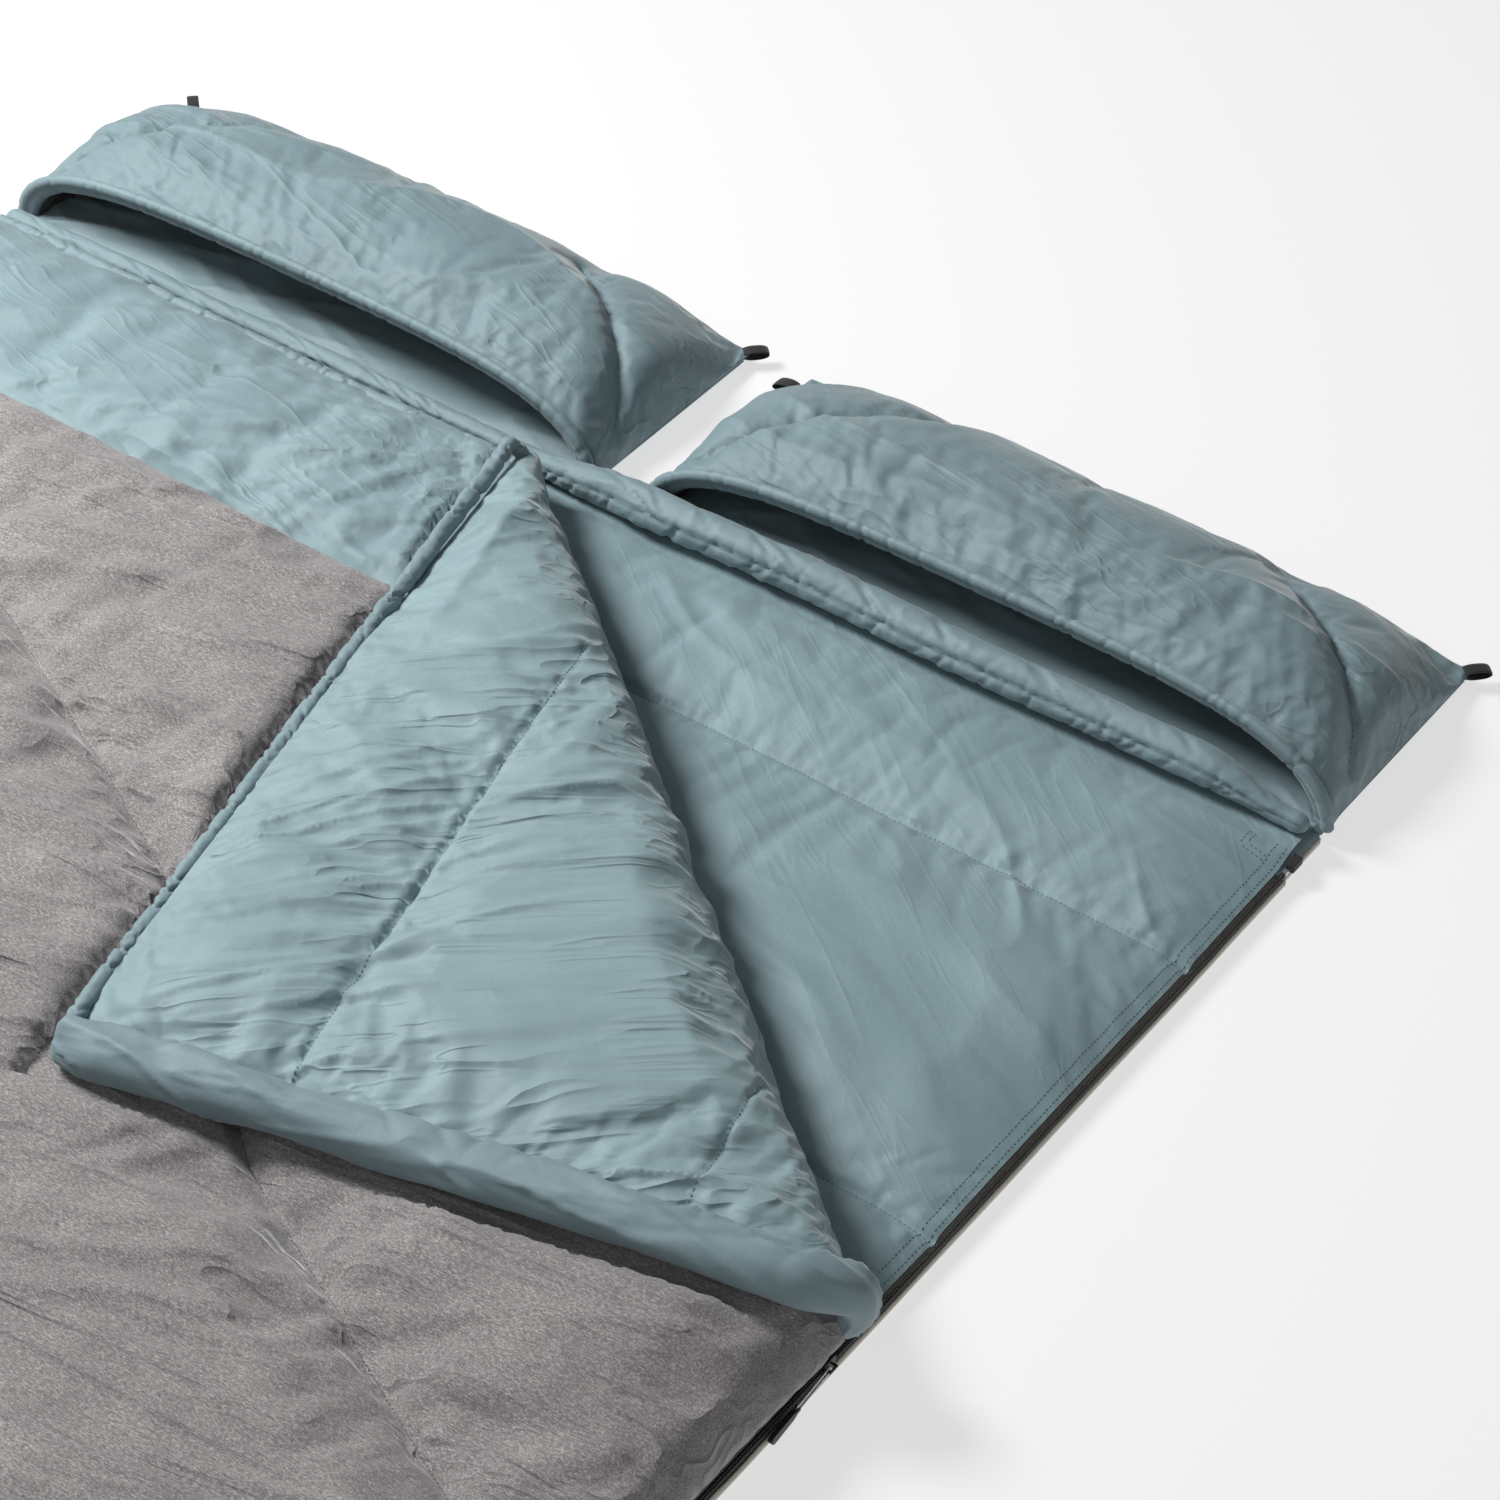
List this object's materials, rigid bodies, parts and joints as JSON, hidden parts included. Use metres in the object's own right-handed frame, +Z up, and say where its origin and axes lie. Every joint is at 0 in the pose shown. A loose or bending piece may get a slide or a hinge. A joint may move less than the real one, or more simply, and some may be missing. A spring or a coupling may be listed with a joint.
{
  "type": "camp quilt",
  "caption": "Padded rectangular quilt bag with two pillow hoods, a neck roll, side zips and one head corner of its top quilt folded back.",
  "frame": {"origin": "middle of the object's box, on the floor", "axes": "+Z up, +Y from the closed foot to the hoods, +X to the side whose zip is open"},
  "size_m": [1.5344, 2.21, 0.1295],
  "materials": {
    "plain_fabric": "smooth matt woven fabric",
    "jersey": "soft melange knit",
    "underside_fabric": "plain woven, light beige",
    "hood_lining": "dark woven lining",
    "wadding": "soft fibre filling",
    "webbing": "ribbed narrow webbing",
    "zip_tape": "woven tape",
    "zip_teeth": "coil",
    "steel": "bright wire",
    "black_plastic": "lacquered"
  },
  "bodies": {
    "bag": {"base_filling": "wadding", "base_lining": "plain_fabric", "base_outer": "underside_fabric", "left_hood_floor_filling": "wadding", "left_hood_floor_lining": "plain_fabric", "left_hood_floor_outer": "plain_fabric", "left_hood_mouth_hem": "plain_fabric", "left_hood_top_filling": "wadding", "left_hood_top_lining": "hood_lining", "left_hood_top_outer": "plain_fabric", "left_zip_base_tape": "zip_tape", "left_zip_base_teeth": "zip_teeth", "left_zip_foot_stop": "steel", "left_zip_head_stop": "steel", "left_zip_top_tape": "zip_tape", "left_zip_top_teeth": "zip_teeth", "neck_roll_core": "wadding", "neck_roll_cover": "plain_fabric", "right_hood_floor_filling": "wadding", "right_hood_floor_lining": "plain_fabric", "right_hood_floor_outer": "plain_fabric", "right_hood_mouth_hem": "plain_fabric", "right_hood_top_filling": "wadding", "right_hood_top_lining": "hood_lining", "right_hood_top_outer": "plain_fabric", "right_zip_base_tape": "zip_tape", "right_zip_base_teeth": "zip_teeth", "right_zip_foot_stop": "steel", "right_zip_head_stop": "steel", "right_zip_tape_end": "webbing", "right_zip_top_tape": "zip_tape", "right_zip_top_teeth": "zip_teeth", "top_filling": "wadding", "top_head_hem": "plain_fabric", "top_lining": "plain_fabric", "top_outer_band": "plain_fabric", "top_outer_jersey": "jersey", "zip_facing_patch": "plain_fabric"},
    "corner": {"corner_draft_tube": "plain_fabric", "corner_filling": "wadding", "corner_head_hem": "plain_fabric", "corner_lining": "plain_fabric", "corner_outer_band": "plain_fabric", "corner_outer_jersey": "jersey", "right_zip_corner_stop": "steel", "right_zip_corner_tape": "zip_tape", "right_zip_corner_teeth": "zip_teeth"},
    "left_loop_inner": {"left_hood_loop_inner": "webbing"},
    "left_loop_outer": {"left_hood_loop_outer": "webbing"},
    "left_pull_link": {"left_zip_pull_link": "steel"},
    "left_pull_tab": {"left_zip_pull_tab": "black_plastic"},
    "left_slider": {"left_zip_slider": "black_plastic"},
    "right_loop_inner": {"right_hood_loop_inner": "webbing"},
    "right_loop_outer": {"right_hood_loop_outer": "webbing"},
    "right_pull_link": {"right_zip_pull_link": "steel"},
    "right_pull_tab": {"right_zip_pull_tab": "black_plastic"},
    "right_slider": {"right_zip_slider": "black_plastic"}
  },
  "joints": [
    {"name": "corner_fold", "type": "hinge", "parent": "bag", "child": "corner", "pos_m": [-0.05, 0.765, 0.087], "axis": [-0.7852, 0.6193, 0], "range_deg": [0, 179]},
    {"name": "right_zip_run", "type": "slide", "parent": "bag", "child": "right_slider", "axis": [0, -1, 0], "range_m": [0, 1.15]},
    {"name": "right_link_swing", "type": "hinge", "parent": "right_slider", "child": "right_pull_link", "pos_m": [0.757, 0.1175, 0.018], "axis": [0, -0.1392, 0.9903], "range_deg": [0, 120]},
    {"name": "right_tab_swing", "type": "hinge", "parent": "right_pull_link", "child": "right_pull_tab", "pos_m": [0.757, 0.07551, 0.0121], "axis": [0, -0.1392, 0.9903], "range_deg": [0, 90]},
    {"name": "left_zip_run", "type": "slide", "parent": "bag", "child": "left_slider", "axis": [0, -1, 0], "range_m": [0, 1.78]},
    {"name": "left_link_swing", "type": "hinge", "parent": "left_slider", "child": "left_pull_link", "pos_m": [-0.757, 0.7505, 0.018], "axis": [0, 0.1392, -0.9903], "range_deg": [0, 120]},
    {"name": "left_tab_swing", "type": "hinge", "parent": "left_pull_link", "child": "left_pull_tab", "pos_m": [-0.757, 0.70851, 0.0121], "axis": [0, 0.1392, -0.9903], "range_deg": [0, 90]},
    {"name": "left_loop_outer_lift", "type": "hinge", "parent": "bag", "child": "left_loop_outer", "pos_m": [-0.746, 1.08379, 0.0196], "axis": [0.7071, 0.7071, 0], "range_deg": [0, 80]},
    {"name": "left_loop_inner_lift", "type": "hinge", "parent": "bag", "child": "left_loop_inner", "pos_m": [-0.039, 1.08379, 0.0196], "axis": [0.7071, -0.7071, 0], "range_deg": [0, 80]},
    {"name": "right_loop_inner_lift", "type": "hinge", "parent": "bag", "child": "right_loop_inner", "pos_m": [0.0347, 1.069, 0.0196], "axis": [0, 1, 0], "range_deg": [0, 80]},
    {"name": "right_loop_outer_lift", "type": "hinge", "parent": "bag", "child": "right_loop_outer", "pos_m": [0.746, 1.08379, 0.0196], "axis": [0.7071, -0.7071, 0], "range_deg": [0, 80]}
  ]
}
